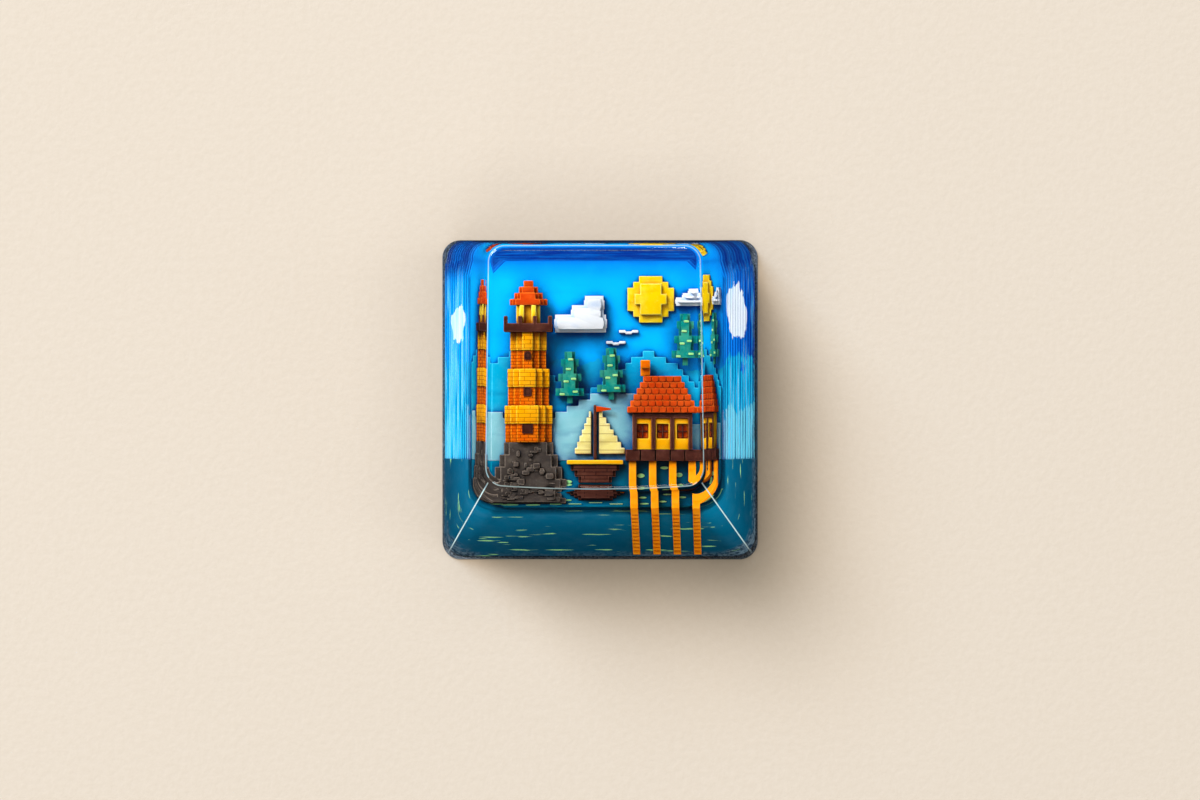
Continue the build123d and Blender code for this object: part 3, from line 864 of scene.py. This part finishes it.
def underCore(face):  # the bare faces of the hollow, the stem and the lower rim
    cap, s = capSettings, coreInside
    middle = face.center / mm
    sideIn = cap["half"] - cap["sideSlope"] * middle.z - abs(middle.x)  # how far inside the clear cap's wall
    endIn = min(middle.y - cap["front"] - cap["frontSlope"] * middle.z,
                cap["back"] - cap["backSlope"] * middle.z - middle.y)
    inside = middle.z < s["below"] and min(sideIn, endIn) > s["deep"] and sideIn + endIn > s["deepSum"]
    return face.normal.z < s["notUp"] and (inside or middle.z < s["lowerRim"])


def makeCore():
    core = copyNode("core", "paintedCore")
    soften(core, coreSettings["edge"], coreSettings["edgeSteps"])
    shadeSmooth(core)
    for material in (coreScenery(), charcoalResin()):
        core.data.materials.append(material)
    for face in core.data.polygons:
        if underCore(face):
            face.material_index = 1
    flankPieces.objects.link(core)
    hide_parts("core")
    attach(core, "root")


makeCore()
print("core painted")

# Relief pieces: softened copies of the solids in hand-painted finishes, with painted highlights on the edges
# and painted shade in the corners

reliefSettings = {
    "far_hills": {"paint": "farHillPaint", "slot": "far_hill_paint"},
    "near_hills": {"paint": "nearHillPaint", "slot": "near_hill_paint"},
    "water": {"paint": "seaPaint", "slot": "water_paint"},
    "rock": {"paint": "rockPaint", "slot": "rock_paint", "edge": 0.04},
    "tower": {"paint": "brickPaint", "slot": "orange_paint"},
    "tower_bands": {"paint": "bandPaint", "slot": "amber_paint"},
    "gallery": {"paint": "brownPaint", "slot": "brown_paint"},
    "lantern": {"paint": "yellowPaint", "slot": "yellow_paint"},
    "lantern_roof": {"paint": "redPaint", "slot": "red_paint", "edge": 0.04},
    "boat_hull": {"paint": "plankPaint", "slot": "brown_paint", "edge": 0.022},
    "boat_gunwale": {"paint": "amberPaint", "slot": "amber_paint"},
    "boat_mast": {"paint": "brownPaint", "slot": "brown_paint"},
    "boat_sails": {"paint": "sailPaint", "slot": "cream_paint"},
    "ripples": {"paint": "foamPaint", "slot": "foam_paint"},
    "pier": {"paint": "brownPaint", "slot": "brown_paint"},
    "pier_posts": {"paint": "postPaint", "slot": "orange_paint", "edge": 0.012, "flank": True},
    "cottage_walls": {"paint": "amberPaint", "slot": "amber_paint"},
    "cottage_frame": {"paint": "brownPaint", "slot": "brown_paint"},
    "cottage_roof": {"paint": "redPaint", "slot": "red_paint"},
    "chimney": {"paint": "orangePaint", "slot": "orange_paint"},
    "pine_1": {"paint": "pinePaint", "slot": "green_paint"},
    "pine_2": {"paint": "pinePaint", "slot": "green_paint"},
    "pine_3": {"paint": "pinePaint", "slot": "green_paint"},
    "sun": {"paint": "yellowPaint", "slot": "yellow_paint", "tighten": 0.9},
    "cloud_1": {"paint": "cloudPaint", "slot": "white_paint"},
    "cloud_2": {"paint": "cloudPaint", "slot": "white_paint"},
    "gulls": {"paint": "cloudPaint", "slot": "white_paint"},
}
softEdge = {"width": 0.05, "steps": 2}

# each paint: its own base colour, a light tone for mottle and the painted edge highlight, and a dark tone for
# streaks, joints and painted shade in the corners
paintSettings = {
    "farHillPaint": {"base": (0, 174, 212), "light": (70, 214, 238), "wash": (0, 52, 140),
                     "reach": 1.1, "shadeStart": 0.96},
    "nearHillPaint": {"base": (134, 198, 202), "light": (186, 226, 228), "wash": (0, 78, 142),
                      "reach": 1.1, "shadeStart": 0.96},
    "seaPaint": {"base": (0, 100, 134), "light": (0, 144, 164), "wash": (0, 36, 62), "reach": 0.8},
    "rockPaint": {"base": (62, 54, 48), "light": (138, 122, 106), "wash": (8, 6, 9), "edge": 0.8},
    "orangePaint": {"base": (236, 104, 0), "light": (255, 168, 30), "wash": (104, 20, 0)},
    "amberPaint": {"base": (255, 172, 0), "light": (255, 216, 60), "wash": (164, 58, 0)},
    "brownPaint": {"base": (68, 32, 24), "light": (132, 78, 60), "wash": (18, 6, 8)},
    "yellowPaint": {"base": (255, 208, 0), "light": (255, 242, 110), "wash": (184, 92, 0)},
    "redPaint": {"base": (206, 56, 4), "light": (250, 118, 34), "wash": (70, 6, 2)},
    "sailPaint": {"base": (240, 222, 128), "light": (255, 248, 196), "wash": (160, 112, 26),
                  "laid": (9.0, 0.46, 0.02)},
    "brickPaint": {"base": (234, 100, 0), "light": (255, 160, 26), "wash": (112, 24, 0),
                   "laid": (0.46, 0.173, 0.02)},
    "bandPaint": {"base": (252, 166, 0), "light": (255, 210, 50), "wash": (158, 60, 0),
                  "laid": (0.69, 0.23, 0.018)},
    "plankPaint": {"base": (76, 38, 27), "light": (140, 84, 64), "wash": (16, 6, 8),
                   "laid": (1.3, 0.2, 0.025)},
    "pinePaint": {"base": (0, 132, 120), "light": (122, 216, 140), "wash": (0, 40, 66)},
    "cloudPaint": {"base": (230, 230, 227), "light": (248, 248, 246), "wash": (96, 156, 210),
                   "shadeDepth": 0.6},
    "postPaint": {"base": (255, 144, 0), "light": (255, 196, 50), "wash": (132, 30, 0),
                  "shadeDepth": 1.4, "shadeStart": 0.97, "reach": 0.2},
    "glowPaint": {"base": (214, 66, 8), "light": (255, 150, 40), "wash": (110, 16, 0)},
    "tilePaint": {"base": (206, 60, 6), "light": (246, 120, 40), "wash": (84, 10, 2), "edge": 0.5},
    "foamPaint": {"base": (152, 226, 128), "light": (214, 250, 180), "wash": (0, 120, 110), "shadeDepth": 0.5},
}
paints = {name: paintMaterial(name, values) for name, values in paintSettings.items()}


def finishRelief(piece, paint):
    shadeSmooth(piece)
    piece.data.materials.clear()
    piece.data.materials.append(paints[paint])
    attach(piece, "root")


def flatPlace(point):  # a point's place in plan, without rounding noise
    return round(point.co.x, 7), round(point.co.y, 7)


def tightenTop(piece, share):  # draws the upper layer in, clear of the lower layer's edge
    points = piece.data.vertices
    topZ = max(point.co.z for point in points)
    upper = {flatPlace(point) for point in points if point.co.z > topZ - hair * mm}
    middle = sum((point.co for point in points), Vector()) / len(points)
    editPicked(piece, "VERT", lambda point: flatPlace(point) in upper)
    bpy.ops.transform.resize(value=(share, share, 1), center_override=middle)
    leaveEdit()


def makeRelief():
    for node, look in reliefSettings.items():
        piece = copyNode(node, "cast" + "".join(word.title() for word in node.split("_")))
        if look.get("tighten"):
            tightenTop(piece, look["tighten"])
        soften(piece, look.get("edge", softEdge["width"]), softEdge["steps"])
        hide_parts(node)
        finishRelief(piece, look["paint"])
        if look.get("flank"):
            flankPieces.objects.link(piece)


makeRelief()
print("relief cast and painted")

# Fine texture on the relief

paneSettings = {"count": 3, "wide": 0.6, "tall": 0.74, "depth": 0.3, "thick": (-0.02, 0.06), "sill": 0.09,
                "recess": 0.03, "bar": 0.07, "uprightTop": 0.16, "crossTop": 0.13, "round": (0.02, 2)}


def makeWindowPanes():  # panes and bars in the cottage windows
    s = paneSettings
    low, high = boxOf("cottage_walls")
    floorZ = high[2] - s["depth"]
    middleY = (low[1] + high[1]) / 2
    y0, y1 = middleY - s["tall"] / 2, middleY + s["tall"] / 2
    under, over = (floorZ + value for value in s["thick"])
    half = s["bar"] / 2
    panes, bars = [], []
    for count in range(s["count"]):
        middleX = low[0] + (high[0] - low[0]) * (count + 0.5) / s["count"]
        x0, x1 = middleX - s["wide"] / 2, middleX + s["wide"] / 2
        pane = blockAt("pane", (x0, y0, under), (x1, y1, over))
        editFaces(pane, facingUp)
        bpy.ops.mesh.inset(thickness=s["sill"] * mm, depth=-s["recess"] * mm)
        leaveEdit()
        panes.append(pane)
        bars.append(blockAt("bar", (middleX - half, y0, floorZ),
                            (middleX + half, y1, floorZ + s["uprightTop"])))
        bars.append(blockAt("bar", (x0, middleY - half, floorZ),
                            (x1, middleY + half, floorZ + s["crossTop"])))
    for piece, paint, slot in ((joinPieces("windowPanes", panes), "glowPaint", "red_paint"),
                               (joinPieces("windowBars", bars), "brownPaint", "brown_paint")):
        soften(piece, *s["round"])
        finishRelief(piece, paint)


makeWindowPanes()

tileSettings = {"tiers": 6, "taper": 1.1, "cells": 11.9, "steps": 4, "fall": 2, "wide": 0.42, "gap": 0.05,
                "thick": 0.07, "slit": 0.03, "sink": 0.01,
                "corner": 0.1, "cornerSteps": 3, "round": (0.02, 1)}


def makeRoofTiles():  # a row of tiles on each step of the cottage roof
    s = tileSettings
    low, high = boxOf("cottage_roof")
    roofWide = high[0] - low[0]
    tierLong = (high[1] - low[1]) / s["tiers"]
    rise = (high[2] - low[2]) / s["steps"]
    half = (s["wide"] - s["gap"]) / 2
    unit = blockAt("roofTile", (-half, 0, 0), (half, tierLong - s["slit"], s["thick"]))
    editEdges(unit, lambda a, b: upright(a, b) and max(a.y, b.y) < hair * mm)
    bevelPicked(s["corner"], s["cornerSteps"])
    tiles = []
    middleX = (low[0] + high[0]) / 2
    for tier in range(s["tiers"]):
        topZ = low[2] + rise * (s["steps"] - s["fall"] * tier / s["tiers"])
        count = int((roofWide - s["taper"] * tier * roofWide / s["cells"]) / s["wide"])
        for place in range(count):
            shiftX = middleX + (place - (count - 1) / 2) * s["wide"]
            tiles.append(copyAt(unit, (shiftX, low[1] + tier * tierLong + s["slit"] / 2, topZ - s["sink"])))
    bpy.data.objects.remove(unit)
    piece = joinPieces("roofTiles", tiles)
    soften(piece, *s["round"])
    finishRelief(piece, "tilePaint")


makeRoofTiles()

portSettings = {"shares": (0.08, 0.42, 0.75), "wide": (0.62, 0.46, 0.4), "tall": (0.72, 0.54, 0.46),
                "sink": 0.02, "stand": 0.08, "arch": 0.4, "archSteps": 4, "frame": 0.07, "recess": 0.06}


def makeTowerPorts():  # door and two windows on the light tower
    s = portSettings
    low, high = boxOf("tower")
    middleX = (low[0] + high[0]) / 2
    ports = []
    for share, wide, tall in zip(s["shares"], s["wide"], s["tall"]):
        y0 = low[1] + (high[1] - low[1]) * share
        y1 = y0 + tall
        port = blockAt("port", (middleX - wide / 2, y0, high[2] - s["sink"]),
                       (middleX + wide / 2, y1, high[2] + s["stand"]))
        editEdges(port, lambda a, b: upright(a, b) and min(a.y, b.y) > (y1 - hair) * mm)
        bevelPicked(wide * s["arch"], s["archSteps"])
        editFaces(port, facingUp)
        bpy.ops.mesh.inset(thickness=s["frame"] * mm)
        bpy.ops.mesh.extrude_region_move(TRANSFORM_OT_translate={"value": (0, 0, -s["recess"] * mm)})
        leaveEdit()
        ports.append(port)
    piece = joinPieces("towerPorts", ports)
    finishRelief(piece, "brownPaint")


makeTowerPorts()

chipSettings = {"seed": 11, "count": 34, "small": 0.16, "large": 0.5, "flat": 0.8, "stand": (0.06, 0.24),
                "narrowing": 0.32, "margin": 0.75, "lowEnd": 0.25, "ends": 0.6, "sink": 0.03, "crown": 0.82,
                "round": (0.03, 1, math.radians(30))}


def makeRockChips():  # broken blocks over the rock's face
    s = chipSettings
    rng = random.Random(s["seed"])
    low, high = boxOf("rock")
    chips = []
    for _ in range(s["count"]):
        share = rng.random()
        half = (high[0] - low[0]) / 2 * (1 - s["narrowing"] * share) - s["margin"]
        x = (low[0] + high[0]) / 2 + rng.uniform(-half, half)
        y = low[1] + s["lowEnd"] + (high[1] - low[1] - s["ends"]) * share
        wide = rng.uniform(s["small"], s["large"])
        long = rng.uniform(s["small"], s["large"]) * s["flat"]
        top = high[2] + rng.uniform(*s["stand"])
        chip = blockAt("chip", (x - wide / 2, y - long / 2, high[2] - s["sink"]),
                       (x + wide / 2, y + long / 2, top))
        editFaces(chip, facingUp)
        bpy.ops.transform.resize(value=(s["crown"], s["crown"], 1),
                                 center_override=(x * mm, y * mm, top * mm))
        leaveEdit()
        chips.append(chip)
    piece = joinPieces("rockChips", chips)
    soften(piece, *s["round"])
    finishRelief(piece, "rockPaint")


makeRockChips()

foamSettings = {"thick": 0.07, "sides": 14, "sink": 0.01, "rim": 0.02, "blobs": [
    (-5.6, -5.05, 0.36, 0.1), (-4.9, -5.2, 0.5, 0.09), (-3.6, -5.22, 0.42, 0.08), (-2.3, -5.1, 0.34, 0.1),
    (-1.7, -4.55, 0.3, 0.1), (0.2, -3.85, 0.4, 0.08), (2.62, -4.2, 0.22, 0.12), (3.75, -4.75, 0.22, 0.1),
    (4.85, -4.15, 0.22, 0.12), (2.7, -5.05, 0.26, 0.09), (4.0, -3.75, 0.24, 0.08), (5.75, -4.9, 0.2, 0.1)]}


def makeFoam():  # flecks of foam on the water
    s = foamSettings
    middleZ = boxOf("water")[1][2] + s["thick"] / 2 - s["sink"]
    flecks = []
    for x, y, wide, long in s["blobs"]:
        deselectAll()
        bpy.ops.mesh.primitive_cylinder_add(vertices=s["sides"], radius=1 * mm, depth=s["thick"] * mm,
                                            location=(x * mm, y * mm, middleZ * mm))
        fleck = newestPiece("fleck")
        fleck.scale = (wide, long, 1)
        settle(fleck)
        editFaces(fleck, facingUp)
        bpy.ops.mesh.inset(thickness=s["rim"] * mm)
        bpy.ops.transform.translate(value=(0, 0, s["rim"] * mm))
        leaveEdit()
        flecks.append(fleck)
    piece = joinPieces("foamFlecks", flecks)
    finishRelief(piece, "foamPaint")


makeFoam()

pennantSettings = {"long": 0.85, "tall": 0.34, "thick": 0.12, "below": 0.06, "sink": 0.01, "tip": 0.25,
                   "round": (0.02, 2, math.radians(30))}


def makePennant():  # small flag at the masthead
    s = pennantSettings
    high = boxOf("boat_mast")[1]
    y1 = high[1] - s["below"]
    endX = high[0] + s["long"]
    piece = blockAt("pennant", (high[0] - s["sink"], y1 - s["tall"], high[2] - s["thick"]),
                    (endX, y1, high[2]))
    editFaces(piece, lambda face: face.normal.x > facing)
    middle = (endX * mm, (y1 - s["tall"] / 2) * mm, high[2] * mm)
    bpy.ops.transform.resize(value=(1, s["tip"], 1), center_override=middle)
    leaveEdit()
    soften(piece, *s["round"])
    finishRelief(piece, "redPaint")


makePennant()

dabSettings = {"places": [(-0.26, 0.17), (0.2, 0.22), (-0.12, 0.42),
                          (0.14, 0.47), (-0.04, 0.66), (0.04, 0.85)],
               "wide": 0.3, "long": 0.12, "sink": 0.03, "stand": 0.05, "corner": 0.05, "cornerSteps": 3,
               "round": (0.02, 2)}


def makePineDabs():  # pale dabs of new growth on the pines
    s = dabSettings
    dabs = []
    for node in ("pine_1", "pine_2", "pine_3"):
        low, high = boxOf(node)
        for across, along in s["places"]:
            x = (low[0] + high[0]) / 2 + across * (high[0] - low[0])
            y = low[1] + along * (high[1] - low[1])
            dab = blockAt("dab", (x - s["wide"] / 2, y - s["long"] / 2, high[2] - s["sink"]),
                          (x + s["wide"] / 2, y + s["long"] / 2, high[2] + s["stand"]))
            editEdges(dab, upright)
            bevelPicked(s["corner"], s["cornerSteps"])
            dabs.append(dab)
    piece = joinPieces("pineDabs", dabs)
    soften(piece, *s["round"])
    finishRelief(piece, "foamPaint")


makePineDabs()
print("panes, tiles, ports, chips, foam, pennant and dabs made")
